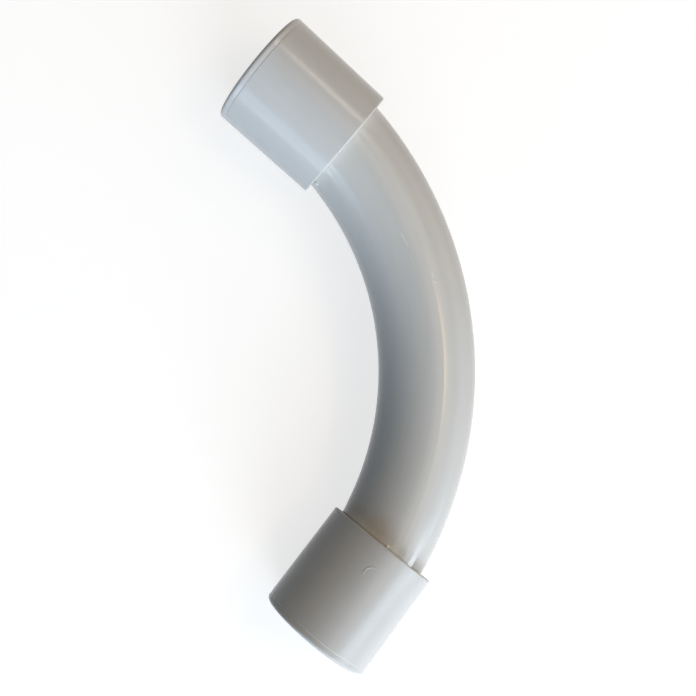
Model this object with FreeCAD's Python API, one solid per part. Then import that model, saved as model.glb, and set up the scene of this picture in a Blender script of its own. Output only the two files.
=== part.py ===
"""Rigid PVC conduit elbow: a 90 degree bend with a socket coupling cemented on each end.

It lies flat on its two couplings, with the plane of the bend level. The upper coupling's
free socket faces +X and the lower coupling's faces +Y, and the back of the bend is towards
-X -Y. The origin is the bottom centre of the whole part. Millimetres and degrees.

Pieces:
  bend_tube            the bent tube, with a straight spigot at each end
  upper_coupling       socket coupling on the +X end
  lower_coupling       socket coupling on the +Y end
  upper_cement_joint   dried solvent cement between tube and coupling, with a drop outside
  lower_cement_joint   the same on the other end, with a smaller drop
"""
import FreeCAD, Part
import math
import os

V = FreeCAD.Vector

# ---------------------------------------------------------------- driving dimensions
# Bent tube
tube_outer_diameter = 25.0
tube_wall = 1.8
bend_radius = 84.2          # centre line, between the couplings
knuckle_turn = 8.0          # degrees that the tube turns inside each coupling
knuckle_radius = 34.0       # centre line, inside each coupling
tube_end_chamfer = 0.6

# Couplings
coupling_wall = 2.4
coupling_length = 28.0
seat_depth = 11.5           # how far the tube's end goes in
stop_width = 1.5            # ring that both tubes stop against
stop_clearance = 0.3        # the ring's bore is this much wider than the tube's, in radius
socket_clearance = 0.1      # radial, round the tube that goes into the free socket
lead_in_length = 1.2        # chamfer inside the free mouth
lead_in_height = 0.6
seam_edge_round = 0.4       # outer edge at the bend's end
groove_length = 1.15        # shallow groove round the outside, near the free mouth
groove_depth = 0.07
groove_fall = 0.2           # length of its steep side, which faces the mouth
groove_fall_crown = 0.02    # height of that side's curve over its chord
groove_rise_crown = 0.01    # the same for the long side, which climbs back to full size
rim_length = 0.8            # rounded edge between the groove and the mouth
rim_drop = 0.6              # how far it comes in at the mouth
rim_crown = 0.16            # height of its curve over its chord

# Solvent cement
cement_thickness = 0.2      # radial, between tube and seat
upper_drop_radius = 0.65
upper_drop_angle = 170.0    # round the tube from the back of the bend, over the top
lower_drop_radius = 0.4
lower_drop_angle = 104.0
drop_lift = 0.1             # how far a drop's centre is above the tube's surface
drop_clearance = 0.08       # between a drop and the coupling's end

# ---------------------------------------------------------------- worked-out dimensions
tube_outer_radius = tube_outer_diameter / 2
tube_inner_radius = tube_outer_radius - tube_wall
socket_radius = tube_outer_radius + socket_clearance
coupling_outer_radius = socket_radius + coupling_wall
seat_radius = tube_outer_radius + cement_thickness
stop_radius = tube_inner_radius + stop_clearance

kink = math.radians(knuckle_turn)
knuckle_length = knuckle_radius * math.sin(kink)      # along the coupling's axis
knuckle_shift = knuckle_radius * (1 - math.cos(kink))  # sideways, towards the bend's centre
flare_radius = tube_outer_radius / math.cos(kink) + knuckle_shift + cement_thickness

# The bend's centre is the working origin. Each coupling's axis and its end at the seam:
axis_offset = bend_radius * math.cos(kink) + knuckle_shift
seam_offset = -bend_radius * math.sin(kink)
mouth_offset = seam_offset + coupling_length
outer_reach = max(
    axis_offset + coupling_outer_radius,
    (bend_radius + tube_outer_radius) * math.cos(kink),
)

# From the working origin to the part's own origin:
to_part_frame = V(
    (outer_reach - mouth_offset) / 2,
    (outer_reach - mouth_offset) / 2,
    coupling_outer_radius,
)

UP = V(0, 0, 1)


class End:
    """One end of the elbow: where its seam is and which way its coupling points."""

    def __init__(self, axis, outward):
        self.axis = axis          # from the seam towards the free mouth
        self.outward = outward    # away from the bend's centre
        self.seam = axis * seam_offset + outward * axis_offset
        self.tube_centre = self.seam - outward * knuckle_shift

    def place(self, shape):
        """Move a shape whose axis is +Z, with the seam at its origin, to this end."""
        turn = FreeCAD.Rotation(UP, self.axis)
        placed = shape.copy()
        placed.Placement = FreeCAD.Placement(self.seam, turn)
        return placed


upper_end = End(axis=V(1, 0, 0), outward=V(0, -1, 0))
lower_end = End(axis=V(0, 1, 0), outward=V(-1, 0, 0))


def revolve_profile(edges):
    """Solid of revolution about Z from edges drawn in the XZ plane."""
    face = Part.Face(Part.Wire(edges))
    return face.revolve(V(0, 0, 0), UP, 360)


def line(start, end):
    return Part.LineSegment(start, end).toShape()


def chain(points):
    """Straight edges through the points, in order."""
    return [line(a, b) for a, b in zip(points, points[1:])]


def knuckle_arc(end):
    """The tighter arc inside a coupling, from the spigot's foot to the seam."""
    centre = end.tube_centre * ((bend_radius - knuckle_radius) / bend_radius)
    half = kink / 2
    start = centre + end.outward * knuckle_radius
    middle = (
        centre
        + end.outward * knuckle_radius * math.cos(half)
        - end.axis * knuckle_radius * math.sin(half)
    )
    return start, Part.Arc(start, middle, end.tube_centre).toShape()


def tube_path(overrun=0.0):
    """The tube's centre line, from the lower spigot's end to the upper one's."""
    lower_foot, lower_knuckle = knuckle_arc(lower_end)
    upper_foot, upper_knuckle = knuckle_arc(upper_end)
    reach = seat_depth + overrun - knuckle_length
    middle = V(-1, -1, 0).normalize() * bend_radius
    bend = Part.Arc(lower_end.tube_centre, middle, upper_end.tube_centre).toShape()
    return Part.Wire([
        line(lower_foot + lower_end.axis * reach, lower_foot),
        lower_knuckle,
        bend,
        upper_knuckle,
        line(upper_foot, upper_foot + upper_end.axis * reach),
    ])


def sweep_round(radius, overrun=0.0):
    """Solid rod of the given radius along the tube's centre line."""
    path = tube_path(overrun)
    start = path.OrderedVertexes[0].Point
    profile = Part.Wire(Part.Circle(start, lower_end.axis, radius).toShape())
    return path.makePipeShell([profile], True, True)


def end_edges(shape):
    """The two round edges at the ends of a swept rod."""
    spigot_ends = [e.seam + e.axis * seat_depth for e in (upper_end, lower_end)]

    def at_an_end(edge):
        middle = edge.BoundBox.Center
        return any(middle.distanceToPoint(p) < tube_end_chamfer / 2 for p in spigot_ends)

    return [edge for edge in shape.Edges if at_an_end(edge)]


def make_tube_body():
    """The tube without its bore, chamfered at both ends."""
    rod = sweep_round(tube_outer_radius)
    return rod.makeChamfer(tube_end_chamfer, end_edges(rod))


def make_bend_tube(tube_body):
    return tube_body.cut(sweep_round(tube_inner_radius, overrun=stop_width))


def crowned_arc(start, end, crown):
    """Arc from start to end in the XZ plane that stands out from its chord by the crown."""
    along = end - start
    normal = V(along.z, 0, -along.x).normalize()
    return Part.Arc(start, (start + end) * 0.5 + normal * crown, end).toShape()


def rim_edges(body_end):
    """Outside of the groove and rim, from the end of the coupling's straight body."""
    groove_foot = body_end + V(-groove_depth, 0, groove_fall)
    groove_end = body_end + V(0, 0, groove_length)
    mouth = groove_end + V(-rim_drop, 0, rim_length)
    edges = [crowned_arc(body_end, groove_foot, groove_fall_crown),
             crowned_arc(groove_foot, groove_end, groove_rise_crown),
             crowned_arc(groove_end, mouth, rim_crown)]
    return edges, mouth


def make_coupling():
    """Coupling along +Z, from its seam end at the origin to its free mouth."""
    corner = seam_edge_round * (1 - math.sqrt(0.5))
    seam_edge = Part.Arc(
        V(coupling_outer_radius - seam_edge_round, 0, 0),
        V(coupling_outer_radius - corner, 0, corner),
        V(coupling_outer_radius, 0, seam_edge_round),
    ).toShape()
    body_end = V(coupling_outer_radius, 0, coupling_length - rim_length - groove_length)
    body = line(V(coupling_outer_radius, 0, seam_edge_round), body_end)
    rim, mouth = rim_edges(body_end)
    stop_end = seat_depth + stop_width
    inside = chain([mouth,
                    V(socket_radius + lead_in_height, 0, coupling_length),
                    V(socket_radius, 0, coupling_length - lead_in_length),
                    V(socket_radius, 0, stop_end),
                    V(stop_radius, 0, stop_end),
                    V(stop_radius, 0, seat_depth),
                    V(seat_radius, 0, seat_depth),
                    V(seat_radius, 0, knuckle_length),
                    V(flare_radius, 0, 0),
                    V(coupling_outer_radius - seam_edge_round, 0, 0)])
    return revolve_profile([seam_edge, body] + rim + inside)


def make_cement_joint(end, tube_body, drop_radius, drop_angle):
    """Cement that fills the seat round the tube, and one dried drop on the tube outside."""
    seat = end.place(revolve_profile(chain([V(0, 0, 0),
                                            V(flare_radius, 0, 0),
                                            V(seat_radius, 0, knuckle_length),
                                            V(seat_radius, 0, seat_depth),
                                            V(0, 0, seat_depth),
                                            V(0, 0, 0)])))
    film = seat.cut(tube_body)

    angle = math.radians(drop_angle)
    away = end.outward * math.cos(angle) + UP * math.sin(angle)
    from_axis = tube_outer_radius + drop_lift
    from_seam = drop_radius + drop_clearance
    drop_centre = end.tube_centre + away * from_axis - end.axis * from_seam
    drop = Part.makeSphere(drop_radius, drop_centre, away).cut(tube_body)
    return Part.makeCompound([film, drop])


def make_parts():
    tube_body = make_tube_body()
    coupling = make_coupling()
    return {
        "bend_tube": make_bend_tube(tube_body),
        "upper_coupling": upper_end.place(coupling),
        "lower_coupling": lower_end.place(coupling),
        "upper_cement_joint": make_cement_joint(
            upper_end, tube_body, upper_drop_radius, upper_drop_angle),
        "lower_cement_joint": make_cement_joint(
            lower_end, tube_body, lower_drop_radius, lower_drop_angle),
    }


os.makedirs("parts", exist_ok=True)
for name, shape in make_parts().items():
    placed = shape.copy()
    placed.translate(to_part_frame)
    placed.exportStep(os.path.join("parts", name + ".step"))
    box = placed.BoundBox
    print(name, "solids", len(placed.Solids), "valid", placed.isValid(), "volume", round(placed.Volume, 2))
    print("   from", [round(v, 2) for v in (box.XMin, box.YMin, box.ZMin)],
          "to", [round(v, 2) for v in (box.XMax, box.YMax, box.ZMax)])
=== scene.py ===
"""Looks of the PVC conduit elbow: finishes, small surface marks, studio and camera.

Metres, in the part's own frame: the upper socket faces +X, the lower one +Y, and the back
of the bend is towards -X -Y. The part lies flat on the floor at z = 0.
"""
import bmesh
import bpy
import math
from mathutils import Matrix, Vector


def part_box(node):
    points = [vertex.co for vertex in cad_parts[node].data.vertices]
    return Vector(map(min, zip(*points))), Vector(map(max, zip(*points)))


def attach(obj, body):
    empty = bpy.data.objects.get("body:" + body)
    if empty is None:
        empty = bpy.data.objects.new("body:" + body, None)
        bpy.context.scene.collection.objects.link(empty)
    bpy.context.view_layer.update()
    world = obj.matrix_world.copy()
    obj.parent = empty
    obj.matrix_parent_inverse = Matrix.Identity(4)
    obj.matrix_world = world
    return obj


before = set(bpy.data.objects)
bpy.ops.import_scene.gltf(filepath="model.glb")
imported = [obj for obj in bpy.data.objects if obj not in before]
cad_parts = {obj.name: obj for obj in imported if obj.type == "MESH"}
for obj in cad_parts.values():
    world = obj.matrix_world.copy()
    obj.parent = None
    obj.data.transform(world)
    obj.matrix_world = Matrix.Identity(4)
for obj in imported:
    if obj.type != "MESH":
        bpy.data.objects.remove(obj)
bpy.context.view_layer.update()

# ---------------------------------------------------------------- camera
CAMERA_AT = Vector((0.03284, 0.02634, 0.20127))
LOOK_AT = Vector((-0.00377, -0.00349, 0.015))
PICTURE_UP = Vector((0.634, -0.773, 0.0))
LENS = 39.25
SENSOR = 36.0
CLIP_START = 0.01

# ---------------------------------------------------------------- the bend and its ends
BEND_RADIUS = 0.0842
TUBE_RADIUS = 0.0125
KNUCKLE_TURN = 8.0          # degrees that the tube turns inside each coupling


class End:
    """A coupling's axis, from its seam to its free mouth, found from its node's box."""

    def __init__(self, node, axis, outward):
        low, high = (Vector(corner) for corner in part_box(node))
        middle = (low + high) / 2
        half_length = (high - low).dot(axis) / 2
        self.axis = axis
        self.outward = outward
        self.radius = (high.z - low.z) / 2
        self.length = half_length * 2
        self.seam = middle - axis * half_length

    def at(self, along, angle, radius):
        """Point at a distance past the seam, and an angle from the back over the top."""
        turn = math.radians(angle)
        away = self.outward * math.cos(turn) + Vector((0, 0, 1)) * math.sin(turn)
        return self.seam + self.axis * along + away * radius


upper = End("upper_coupling", Vector((1, 0, 0)), Vector((0, -1, 0)))
lower = End("lower_coupling", Vector((0, 1, 0)), Vector((-1, 0, 0)))
SEAM_BEFORE_CENTRE = BEND_RADIUS * math.sin(math.radians(KNUCKLE_TURN))
BEND_CENTRE = Vector((
    upper.seam.x + SEAM_BEFORE_CENTRE,
    lower.seam.y + SEAM_BEFORE_CENTRE,
    upper.seam.z,
))


# ---------------------------------------------------------------- materials
MM = 0.001
IOR = 1.5                   # of the plastic and the dried cement

# Colours, and tints that multiply them
PVC_COLOUR = (0.53, 0.53, 0.525)
COUPLING_COLOUR = (0.525, 0.527, 0.53)
CEMENT_COLOUR = (0.58, 0.575, 0.54)
# Painted light: the lower joint's cement is painted paler, so that its drop, in the lower
# coupling's shadow, still looks lit.
CEMENT_COLOUR_PAINTED_LIGHTER = (0.86, 0.82, 0.7)
# Painted shadow: a warm, darker patch on the tube beside the lower seam, deepening the
# coupling's shadow there.
SEAM_SHADOW_TINT = (0.86, 0.77, 0.67)
# Painted shade: a dark line on the tube in the crease at the lower seam, where the coupling
# shades it.
CREASE_SHADE_TINT = (0.58, 0.6, 0.6)
SCRATCH_TINT = (1.16, 1.16, 1.14)
# Painted shade at the small nick on the bend.
NICK_SHADE_TINT = (0.6, 0.6, 0.6)
RUBBED_TINT = (0.97, 0.96, 0.93)

# Least and most roughness, and how much a mark changes it
TUBE_ROUGHNESS = (0.215, 0.235)
COUPLING_ROUGHNESS = (0.225, 0.245)
CEMENT_ROUGHNESS = (0.12, 0.22)
SCRATCH_ROUGHENS = 0.12
RUBBING_ROUGHENS = 0.25
SMEAR_SMOOTHS = 0.145

# Heights of the bump patterns
TUBE_WAVE_HEIGHT = 0.02 * MM
TUBE_GRAIN_HEIGHT = 0.0012 * MM
SCRATCH_DEPTH = 0.02 * MM
COUPLING_WAVE_HEIGHT = 0.015 * MM
COUPLING_GRAIN_HEIGHT = 0.0015 * MM
BUBBLE_HEIGHT = 0.006 * MM

# Sizes of the patterns in the plastic's colour
CLOUD_SIZE = 9 * MM
FLOW_LINE_SIZE = 1.3 * MM
DUST_SIZE = 0.5 * MM

# Painted shade and other marks by the seams and mouths. Each pair is where a mark starts and
# stops fading.
# Where the painted shadow patch sits by the lower seam, and its soft edge.
SEAM_SHADOW_ALONG = -1.8 * MM
SEAM_SHADOW_ANGLE = 122
SEAM_SHADOW_RADIUS = 0.5 * MM
SEAM_SHADOW_EDGE = 5.2 * MM
# Painted crease shade at the lower seam: where it fades, and how strong it is.
CREASE_SHADE_FADES = (0.15 * MM, 0.55 * MM)
CREASE_SHADE_STRENGTH = 0.9
SMEAR_FADES = (2.4 * MM, 3.2 * MM)
SMEAR_WOBBLE = 0.8 * MM
RUBBED_WIDTH = 0.6 * MM


class Surface:
    """A material being made: its shader, and short calls that add nodes to it."""

    def __init__(self, name):
        self.material = bpy.data.materials.new(name)
        self.material.use_nodes = True
        self.nodes = self.material.node_tree.nodes
        self.links = self.material.node_tree.links
        self.shader = self.nodes["Principled BSDF"]
        self.shader.inputs["IOR"].default_value = IOR
        self.place = self.nodes.new("ShaderNodeTexCoord").outputs["Object"]

    def put(self, socket, value):
        """Link an output into a socket, or write a constant there."""
        if isinstance(value, bpy.types.NodeSocket):
            self.links.new(value, socket)
        else:
            socket.default_value = value

    def math(self, operation, a, b=0.0):
        node = self.nodes.new("ShaderNodeMath")
        node.operation = operation
        self.put(node.inputs[0], a)
        self.put(node.inputs[1], b)
        return node.outputs[0]

    def vector(self, operation, a, b):
        node = self.nodes.new("ShaderNodeVectorMath")
        node.operation = operation
        self.put(node.inputs[0], a)
        self.put(node.inputs[1], b)
        gives_number = operation in ("DOT_PRODUCT", "DISTANCE")
        return node.outputs["Value" if gives_number else "Vector"]

    def scaled(self, vector, factor):
        node = self.nodes.new("ShaderNodeVectorMath")
        node.operation = "SCALE"
        self.put(node.inputs[0], vector)
        self.put(node.inputs["Scale"], factor)
        return node.outputs["Vector"]

    def parts(self, vector):
        node = self.nodes.new("ShaderNodeSeparateXYZ")
        self.put(node.inputs[0], vector)
        return list(node.outputs)

    def joined(self, x, y, z):
        node = self.nodes.new("ShaderNodeCombineXYZ")
        for socket, value in zip(node.inputs, (x, y, z)):
            self.put(socket, value)
        return node.outputs[0]

    def range(self, value, low, high, at_low, at_high, soft=True):
        """Value from at_low, at or under low, to at_high, at or over high."""
        node = self.nodes.new("ShaderNodeMapRange")
        node.interpolation_type = "SMOOTHSTEP" if soft else "LINEAR"
        self.put(node.inputs["Value"], value)
        self.put(node.inputs["From Min"], low)
        self.put(node.inputs["From Max"], high)
        self.put(node.inputs["To Min"], at_low)
        self.put(node.inputs["To Max"], at_high)
        return node.outputs["Result"]

    def noise(self, place, size, detail, stretch=(1, 1, 1)):
        """Cloudy pattern, mostly 0.3 to 0.7, with patches of about the given size."""
        node = self.nodes.new("ShaderNodeTexNoise")
        self.put(node.inputs["Vector"], self.vector("MULTIPLY", place, stretch))
        node.inputs["Scale"].default_value = 1 / size
        node.inputs["Detail"].default_value = detail
        return node.outputs["Fac"]

    def tint(self, colour, amount, by):
        """Colour multiplied by another one, as strongly as the amount says."""
        node = self.nodes.new("ShaderNodeMix")
        node.data_type = "RGBA"
        node.blend_type = "MULTIPLY"
        self.put(node.inputs["Factor"], amount)
        self.put(node.inputs["A"], colour)
        self.put(node.inputs["B"], (*by, 1) if isinstance(by, tuple) else by)
        return node.outputs["Result"]

    def near_line(self, place, start, end, width):
        """1 on the line from start to end, falling to 0 at half the width from it."""
        span = end - start
        length = span.length
        offset = self.vector("SUBTRACT", place, tuple(start))
        reach = self.vector("DOT_PRODUCT", offset, tuple(span / length))
        held = self.range(reach, 0.0, length, 0.0, length, soft=False)
        foot = self.scaled(tuple(span / length), held)
        return self.range(self.vector("DISTANCE", offset, foot), 0.0, width / 2, 1.0, 0.0)

    def near_point(self, place, centre, radius, edge):
        """1 inside the radius, falling to 0 over the edge's width outside it."""
        away = self.vector("DISTANCE", place, tuple(centre))
        return self.range(away, radius, radius + edge, 1.0, 0.0)

    def mottled(self, colour, place, stretch):
        """Colour with the faint clouds and flow lines of extruded or moulded plastic."""
        clouds = self.range(self.noise(place, CLOUD_SIZE, 3), 0.2, 0.8, 0.985, 1.015, soft=False)
        flow = self.range(self.noise(place, FLOW_LINE_SIZE, 2, stretch), 0.3, 0.7, 0.992, 1.008)
        dust = self.range(self.noise(place, DUST_SIZE, 1), 0.74, 0.82, 1.0, 0.94)
        shade = self.math("MULTIPLY", self.math("MULTIPLY", clouds, flow), dust)
        return self.tint((*colour, 1), 1.0, self.joined(shade, shade, shade))

    def bump(self, height):
        """Bump from a height in metres."""
        node = self.nodes.new("ShaderNodeBump")
        node.inputs["Distance"].default_value = 1.0
        self.put(node.inputs["Height"], height)
        self.links.new(node.outputs["Normal"], self.shader.inputs["Normal"])

    def finish(self, colour, roughness, height):
        self.put(self.shader.inputs["Base Color"], colour)
        self.put(self.shader.inputs["Roughness"], roughness)
        self.bump(height)
        return self.material


def along_bend(surface):
    """Place on the tube as if it were straight: along it, outwards from its line, and up."""
    x, y, z = surface.parts(surface.vector("SUBTRACT", surface.place, tuple(BEND_CENTRE)))
    turn = surface.math("ARCTAN2", y, x)
    far = surface.math("SQRT", surface.math("ADD", surface.math("MULTIPLY", x, x),
                                            surface.math("MULTIPLY", y, y)))
    outwards = surface.math("SUBTRACT", far, BEND_RADIUS)
    return surface.joined(surface.math("MULTIPLY", turn, BEND_RADIUS), outwards, z)


def along_coupling(surface, end):
    """Place on a coupling: along its axis from the seam, outwards and up from the axis."""
    offset = surface.vector("SUBTRACT", surface.place, tuple(end.seam))
    along = surface.vector("DOT_PRODUCT", offset, tuple(end.axis))
    outwards = surface.vector("DOT_PRODUCT", offset, tuple(end.outward))
    return surface.joined(along, outwards, surface.vector("DOT_PRODUCT", offset, (0, 0, 1)))


# Start, end, width and strength of each scratch. All ends here are in unbent's terms.
SCRATCHES = (
    ((19.0, 105.9), (16.7, 104.7), 1.1 * MM, 0.5),
    ((15.0, 105.1), (13.0, 105.2), 0.8 * MM, 0.38),
    ((11.2, 87.7), (10.4, 87.6), 0.8 * MM, 0.7),
    ((9.6, 91.0), (9.3, 85.3), 0.8 * MM, 0.5),
    ((1.1, 32.0), (0.5, 32.0), 0.6 * MM, 1.0),
)
NICK_START = (0.25, 31)
NICK_STOP = (-0.1, 31)
NICK_WIDTH = 0.5 * MM


def unbent(turn, angle):
    """A point of the tube's outside in along_bend's terms.

    Turn is in degrees from the bend's middle towards the upper coupling, and angle is
    round the tube from the bend's back over the top.
    """
    lean = math.radians(angle)
    along = (math.radians(turn) - 0.75 * math.pi) * BEND_RADIUS
    return Vector((along, TUBE_RADIUS * math.cos(lean), TUBE_RADIUS * math.sin(lean)))


def bending_scratches(surface, place, fine):
    """Each scratch's strength on its line, broken up by the fine pattern, and 0 elsewhere."""
    fresh = None
    for start, end, width, strength in SCRATCHES:
        line = surface.near_line(place, unbent(*start), unbent(*end), width)
        line = surface.math("MULTIPLY", line, strength)
        fresh = surface.math("MAXIMUM", fresh, line) if fresh else line
    return surface.math("MULTIPLY", fresh, surface.range(fine, 0.35, 0.55, 0.6, 1.0))


def distance_before(surface, end):
    """Distance from a seam, on the bend's side of it."""
    offset = surface.vector("SUBTRACT", surface.place, tuple(end.seam))
    return surface.vector("DOT_PRODUCT", offset, tuple(-end.axis))


def seam_shade_and_smear(surface, wobble):
    """How strong the painted shadow patch and the painted crease shade by the lower seam are,
    and the smear by both.
    """
    # Painted shadow of the lower coupling on the tube.
    seam_shadow_middle = lower.at(SEAM_SHADOW_ALONG, SEAM_SHADOW_ANGLE, TUBE_RADIUS)
    seam_shadow = surface.near_point(surface.place, seam_shadow_middle, SEAM_SHADOW_RADIUS, SEAM_SHADOW_EDGE)
    seam_shadow = surface.math("MULTIPLY", seam_shadow, surface.range(wobble, 0.3, 0.6, 0.55, 1.0))

    from_lower = distance_before(surface, lower)
    from_upper = distance_before(surface, upper)
    # Painted shade in the crease at the lower seam.
    crease_shade = surface.range(from_lower, *CREASE_SHADE_FADES, CREASE_SHADE_STRENGTH, 0.0)
    nearest = surface.math("MINIMUM", from_lower, from_upper)
    smear_edge = surface.math("ADD", nearest, surface.math("MULTIPLY", wobble, SMEAR_WOBBLE))
    smear = surface.range(smear_edge, *SMEAR_FADES, 1.0, 0.0)
    return seam_shadow, crease_shade, smear


def tube_material():
    """Extruded tube, with long flow lines, bending scratches, a glossy smear at its seams, and
    painted shade by the lower seam and at a nick.
    """
    surface = Surface("tube_pvc")
    place = along_bend(surface)
    wobble = surface.noise(place, 2.5 * MM, 3)
    fine = surface.noise(place, 0.35 * MM, 2)
    fresh = bending_scratches(surface, place, fine)
    nick = surface.near_line(place, unbent(*NICK_START), unbent(*NICK_STOP), NICK_WIDTH)
    seam_shadow, crease_shade, smear = seam_shade_and_smear(surface, wobble)

    colour = surface.mottled(PVC_COLOUR, place, (0.06, 1, 1))
    # Painted shadow beside the lower seam.
    colour = surface.tint(colour, seam_shadow, SEAM_SHADOW_TINT)
    # Painted crease shade at the lower seam.
    colour = surface.tint(colour, crease_shade, CREASE_SHADE_TINT)
    colour = surface.tint(colour, fresh, SCRATCH_TINT)
    # Painted shade at the nick's edge.
    colour = surface.tint(colour, nick, NICK_SHADE_TINT)

    roughness = surface.range(wobble, 0.3, 0.7, *TUBE_ROUGHNESS)
    smoothed = surface.math("MULTIPLY", smear, SMEAR_SMOOTHS)
    roughened = surface.math("MULTIPLY", fresh, SCRATCH_ROUGHENS)
    roughness = surface.math("SUBTRACT", roughness, smoothed)
    roughness = surface.math("ADD", roughness, roughened)

    waves = surface.noise(place, 7 * MM, 1, (0.25, 1, 1))
    waves = surface.math("MULTIPLY", waves, TUBE_WAVE_HEIGHT)
    grain = surface.math("MULTIPLY", fine, TUBE_GRAIN_HEIGHT)
    cut = surface.math("MULTIPLY", surface.math("ADD", fresh, nick), -SCRATCH_DEPTH)
    height = surface.math("ADD", surface.math("ADD", waves, grain), cut)
    return surface.finish(colour, roughness, height)


def coupling_material(name, end):
    """Moulded socket coupling: fine flow lines, and edges rubbed matt by handling."""
    surface = Surface(name)
    place = along_coupling(surface, end)
    wobble = surface.noise(place, 3 * MM, 3)
    fine = surface.noise(place, 0.4 * MM, 2)
    along = surface.parts(place)[0]
    near_seam = surface.range(along, 0.0, RUBBED_WIDTH, 1.0, 0.0)
    near_mouth = surface.range(along, end.length - RUBBED_WIDTH, end.length, 0.0, 1.0)
    rubbed = surface.math("MAXIMUM", near_seam, near_mouth)

    colour = surface.mottled(COUPLING_COLOUR, place, (0.2, 1, 1))
    colour = surface.tint(colour, surface.math("MULTIPLY", rubbed, 0.5), RUBBED_TINT)

    roughness = surface.range(wobble, 0.3, 0.7, *COUPLING_ROUGHNESS)
    roughened = surface.math("MULTIPLY", rubbed, RUBBING_ROUGHENS)
    roughness = surface.math("ADD", roughness, roughened)

    waves = surface.noise(place, 8 * MM, 1, (0.4, 1, 1))
    waves = surface.math("MULTIPLY", waves, COUPLING_WAVE_HEIGHT)
    grain = surface.math("MULTIPLY", fine, COUPLING_GRAIN_HEIGHT)
    return surface.finish(colour, roughness, surface.math("ADD", waves, grain))


def cement_material(name, colour):
    """Dried solvent cement, slightly yellow and glossy, with tiny bubbles."""
    surface = Surface(name)
    clouds = surface.range(surface.noise(surface.place, 0.6 * MM, 3), 0.3, 0.7, 0.9, 1.04)
    bubbles = surface.noise(surface.place, 0.15 * MM, 1)
    shade = surface.math("MULTIPLY", clouds, surface.range(bubbles, 0.6, 0.7, 1.0, 0.92))
    colour = surface.tint((*colour, 1), 1.0, surface.joined(shade, shade, shade))
    roughness = surface.range(bubbles, 0.3, 0.7, *CEMENT_ROUGHNESS)
    return surface.finish(colour, roughness, surface.math("MULTIPLY", bubbles, BUBBLE_HEIGHT))


def dress(node, material):
    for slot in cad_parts[node].material_slots:
        slot.material = material


def dress_nodes():
    dress("bend_tube", tube_material())
    dress("upper_coupling", coupling_material("upper_coupling_pvc", upper))
    dress("lower_coupling", coupling_material("lower_coupling_pvc", lower))
    dress("upper_cement_joint", cement_material("dried_cement", CEMENT_COLOUR))
    # The paler cement here is painted light, for the drop in the coupling's shadow.
    dress("lower_cement_joint", cement_material("dried_cement_painted_lighter", CEMENT_COLOUR_PAINTED_LIGHTER))


# ---------------------------------------------------------------- marks left by the mould
GATE_ALONG = 7.2 * MM
GATE_ANGLE = 103.0
GATE_RADIUS = 1.85 * MM
GATE_HEIGHT = 0.028 * MM
GATE_WIDTH = 0.5 * MM
GATE_START = 55             # degrees round its circle
GATE_STOP = 205
DOT_ALONG = 5.0 * MM
DOT_ANGLE = 127.0
DOT_RADIUS = 0.24 * MM
DOT_HEIGHT = 0.05 * MM


def on_coupling(end, along, across, height):
    """Point over a coupling's surface, from a flat drawing: along the axis, and round it."""
    angle = math.degrees(across / end.radius)
    return end.at(along, angle, end.radius + height)


def raised_ring(name, end, along, angle, start, stop):
    """Low rounded ridge that follows part of a circle on the coupling's surface."""
    middle = math.radians(angle) * end.radius
    steps = 28
    end_width = 0.35
    # Across the ridge and up, as shares of its width and height
    profile = [(-0.5, -0.2), (-0.3, 0.7), (0.0, 1.0), (0.3, 0.7), (0.5, -0.2)]
    mesh = bmesh.new()
    rows = []
    for step in range(steps + 1):
        share = step / steps
        turn = math.radians(start + (stop - start) * share)
        fade = math.sin(math.pi * share) ** 0.35
        row = []
        for across, lift in profile:
            radius = GATE_RADIUS + across * GATE_WIDTH * (end_width + (1 - end_width) * fade)
            height = lift * GATE_HEIGHT * fade if lift > 0 else lift * GATE_HEIGHT
            point = on_coupling(end, along + radius * math.cos(turn),
                                middle + radius * math.sin(turn), height)
            row.append(mesh.verts.new(point))
        rows.append(row)
    for row, following in zip(rows, rows[1:]):
        for side in range(len(profile) - 1):
            mesh.faces.new((row[side], row[side + 1], following[side + 1], following[side]))
        mesh.faces.new((row[-1], row[0], following[0], following[-1]))
    mesh.faces.new(rows[0])
    mesh.faces.new(list(reversed(rows[-1])))
    return mesh_piece(name, mesh)


def raised_dot(name, end, along, angle):
    """Low dome left where the mould's pin met the coupling's surface."""
    middle = math.radians(angle) * end.radius
    mesh = bmesh.new()
    rings = []
    sides = 20
    lifts = (-0.2, 0.35, 0.75, 0.95)    # of its rings, as shares of its height
    for lift in lifts:
        radius = DOT_RADIUS * math.sqrt(1 - max(lift, 0.0) ** 2)
        ring = []
        for side in range(sides):
            turn = 2 * math.pi * side / sides
            point = on_coupling(end, along + radius * math.cos(turn),
                                middle + radius * math.sin(turn), lift * DOT_HEIGHT)
            ring.append(mesh.verts.new(point))
        rings.append(ring)
    for ring, following in zip(rings, rings[1:]):
        for side in range(sides):
            after = (side + 1) % sides
            mesh.faces.new((ring[side], ring[after], following[after], following[side]))
    mesh.faces.new(rings[-1])
    mesh.faces.new(list(reversed(rings[0])))
    return mesh_piece(name, mesh)


def mesh_piece(name, mesh):
    """Object from a bmesh, with its faces turned outwards and smooth."""
    bmesh.ops.recalc_face_normals(mesh, faces=mesh.faces)
    for face in mesh.faces:
        face.smooth = True
    data = bpy.data.meshes.new(name)
    mesh.to_mesh(data)
    mesh.free()
    piece = bpy.data.objects.new(name, data)
    bpy.context.scene.collection.objects.link(piece)
    return piece


def add_mould_marks():
    """Gate ring and pin dot on the lower coupling."""
    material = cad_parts["lower_coupling"].material_slots[0].material
    ring = raised_ring("gate_ring", lower, GATE_ALONG, GATE_ANGLE, GATE_START, GATE_STOP)
    dot = raised_dot("pin_dot", lower, DOT_ALONG, DOT_ANGLE)
    for piece in (ring, dot):
        piece.data.materials.append(material)
        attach(piece, "root")


dress_nodes()
add_mould_marks()


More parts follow.
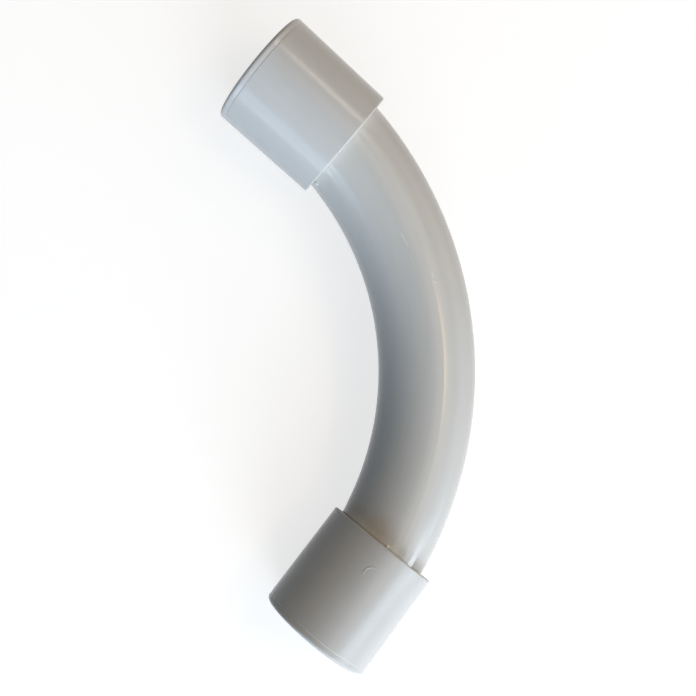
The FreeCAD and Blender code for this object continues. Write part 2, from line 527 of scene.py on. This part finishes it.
# ---------------------------------------------------------------- floor, lamps and camera
FLOOR_WHITE = 0.34          # colour that is seen
FLOOR_GLOW = 0.74           # added to it, so that it looks white
FLOOR_BOUNCE = 0.13         # colour for the light it throws on the object
FLOOR_HALF_SIZE = 3.0
FLOOR_SHADOW_ENDS = (0.3, 0.7)   # distances from the middle between which it turns plain white
LAMP_DISTANCE = 1.0
MODEL_MIDDLE = Vector((0, 0, 0.015))
WORLD_LEVEL = 0.035

# Lamp colours
WHITE = (1.0, 1.0, 1.0)
OVERCAST = (0.88, 0.95, 1.0)
SKY = (0.72, 0.86, 1.0)
BLUE_SKY = (0.42, 0.72, 1.0)
WARM = (1.0, 0.84, 0.64)
AMBER = (1.0, 0.65, 0.25)


def seen_directly(nodes, links):
    """1 on camera, glossy and transmission rays, and 0 on the rest."""
    path = nodes.new("ShaderNodeLightPath")
    total = path.outputs["Is Camera Ray"]
    for ray in ("Is Glossy Ray", "Is Transmission Ray"):
        add = nodes.new("ShaderNodeMath")
        add.operation = "ADD"
        add.use_clamp = True
        links.new(total, add.inputs[0])
        links.new(path.outputs[ray], add.inputs[1])
        total = add.outputs[0]
    return total


def distance_from_middle(nodes, links):
    """0 on the floor near the object, and 1 past the reach of its shadow."""
    place = nodes.new("ShaderNodeTexCoord")
    length = nodes.new("ShaderNodeVectorMath")
    length.operation = "LENGTH"
    links.new(place.outputs["Object"], length.inputs[0])
    near, far = FLOOR_SHADOW_ENDS
    ramp = nodes.new("ShaderNodeMapRange")
    ramp.interpolation_type = "SMOOTHSTEP"
    ramp.inputs["From Min"].default_value = near
    ramp.inputs["From Max"].default_value = far
    links.new(length.outputs["Value"], ramp.inputs["Value"])
    return ramp.outputs["Result"]


def floor_material():
    """White to look at, with the object's shadow, and darker for the light it bounces."""
    material = bpy.data.materials.new("floor_white")
    material.use_nodes = True
    nodes = material.node_tree.nodes
    links = material.node_tree.links
    nodes.remove(nodes["Principled BSDF"])
    bounce = nodes.new("ShaderNodeBsdfDiffuse")
    bounce.inputs["Color"].default_value = (FLOOR_BOUNCE, FLOOR_BOUNCE, FLOOR_BOUNCE, 1)
    white = nodes.new("ShaderNodeBsdfDiffuse")
    white.inputs["Color"].default_value = (FLOOR_WHITE, FLOOR_WHITE, FLOOR_WHITE, 1)
    glow = nodes.new("ShaderNodeEmission")
    glow.inputs["Strength"].default_value = FLOOR_GLOW
    lit = nodes.new("ShaderNodeAddShader")
    links.new(white.outputs[0], lit.inputs[0])
    links.new(glow.outputs[0], lit.inputs[1])
    far_white = nodes.new("ShaderNodeEmission")
    far = nodes.new("ShaderNodeMixShader")
    links.new(distance_from_middle(nodes, links), far.inputs[0])
    links.new(lit.outputs[0], far.inputs[1])
    links.new(far_white.outputs[0], far.inputs[2])
    mix = nodes.new("ShaderNodeMixShader")
    links.new(seen_directly(nodes, links), mix.inputs[0])
    links.new(bounce.outputs[0], mix.inputs[1])
    links.new(far.outputs[0], mix.inputs[2])
    links.new(mix.outputs[0], nodes["Material Output"].inputs["Surface"])
    return material


def add_floor():
    half = FLOOR_HALF_SIZE
    corners = [(-half, -half, 0), (half, -half, 0), (half, half, 0), (-half, half, 0)]
    mesh = bpy.data.meshes.new("floor")
    mesh.from_pydata(corners, [], [(0, 1, 2, 3)])
    mesh.materials.append(floor_material())
    floor = bpy.data.objects.new("floor", mesh)
    bpy.context.scene.collection.objects.link(floor)


def aim(thing, at, target, up):
    """Stand a camera or lamp at a point, looking at its target."""
    forward = (target - at).normalized()
    right = forward.cross(up).normalized()
    true_up = right.cross(forward)
    thing.matrix_world = Matrix((
        (right.x, true_up.x, -forward.x, at.x),
        (right.y, true_up.y, -forward.y, at.y),
        (right.z, true_up.z, -forward.z, at.z),
        (0, 0, 0, 1),
    ))


def add_camera():
    data = bpy.data.cameras.new("camera")
    data.lens = LENS
    data.sensor_width = SENSOR
    data.clip_start = CLIP_START
    camera = bpy.data.objects.new("camera", data)
    bpy.context.scene.collection.objects.link(camera)
    aim(camera, CAMERA_AT, LOOK_AT, PICTURE_UP)
    bpy.context.scene.camera = camera


def add_lamp(name, azimuth, elevation, wide, high, colour, level, mirrored=True):
    """Area lamp in a direction from the model, as wide and high as those angles look.

    Azimuth is from +X towards +Y. Level is the lamp's power over pi times its area. A lamp
    that isn't mirrored lights the object but isn't seen in its gloss.
    """
    turn = math.radians(azimuth)
    lift = math.radians(elevation)
    sideways = math.cos(lift)
    away = Vector((sideways * math.cos(turn), sideways * math.sin(turn), math.sin(lift)))
    data = bpy.data.lights.new(name, "AREA")
    data.shape = "RECTANGLE"
    data.size = 2 * LAMP_DISTANCE * math.tan(math.radians(wide / 2))
    data.size_y = 2 * LAMP_DISTANCE * math.tan(math.radians(high / 2))
    data.color = colour
    data.energy = level * math.pi * data.size * data.size_y
    lamp = bpy.data.objects.new(name, data)
    bpy.context.scene.collection.objects.link(lamp)
    lamp.visible_camera = False
    lamp.visible_glossy = mirrored
    aim(lamp, MODEL_MIDDLE + away * LAMP_DISTANCE, MODEL_MIDDLE, Vector((0, 0, 1)))


def add_studio():
    """Big windows low on one side, dim walls and ceiling, and small lamps for the streaks."""
    add_lamp("window_left", 98, 6, 50, 12, SKY, 3.4)
    add_lamp("window_left_top", 92, 20.5, 42, 7.5, BLUE_SKY, 4.6)
    add_lamp("window_middle", 140, 15, 34, 24, OVERCAST, 11, mirrored=False)
    add_lamp("window_high", 150, 38, 56, 24, SKY, 3)
    add_lamp("wall_side", 212, 18, 34, 28, SKY, 0.9)
    add_lamp("wall_back", 252, 18, 42, 28, WARM, 0.8)
    add_lamp("wall_high", 200, 40, 40, 26, WHITE, 0.25)
    add_lamp("ceiling_back", 262, 45, 44, 28, AMBER, 0.4)
    add_lamp("ceiling_low", 228, 54, 50, 20, WHITE, 1)
    add_lamp("ceiling_top", 220, 74, 40, 24, WARM, 1.1)
    add_lamp("streak_bend", 218, 63.5, 11, 4, AMBER, 20)
    add_lamp("streak_upper", 276.5, 51, 9, 3.5, WARM, 17)
    add_lamp("streak_seam", 182.5, 21, 6, 14, SKY, 9.5)
    add_lamp("streak_edge", 189, 9, 7, 10, BLUE_SKY, 4)


def add_world(strength):
    """White where it is seen directly, and light of the given strength elsewhere."""
    world = bpy.data.worlds.new("studio")
    world.use_nodes = True
    nodes = world.node_tree.nodes
    links = world.node_tree.links
    background = nodes["Background"]
    background.inputs["Color"].default_value = (1, 1, 1, 1)
    mix = nodes.new("ShaderNodeMix")
    links.new(seen_directly(nodes, links), mix.inputs["Factor"])
    mix.inputs["A"].default_value = strength
    mix.inputs["B"].default_value = 1
    links.new(mix.outputs["Result"], background.inputs["Strength"])
    bpy.context.scene.world = world


add_floor()
add_studio()
add_world(WORLD_LEVEL)
add_camera()
bpy.context.scene.view_settings.view_transform = "Standard"
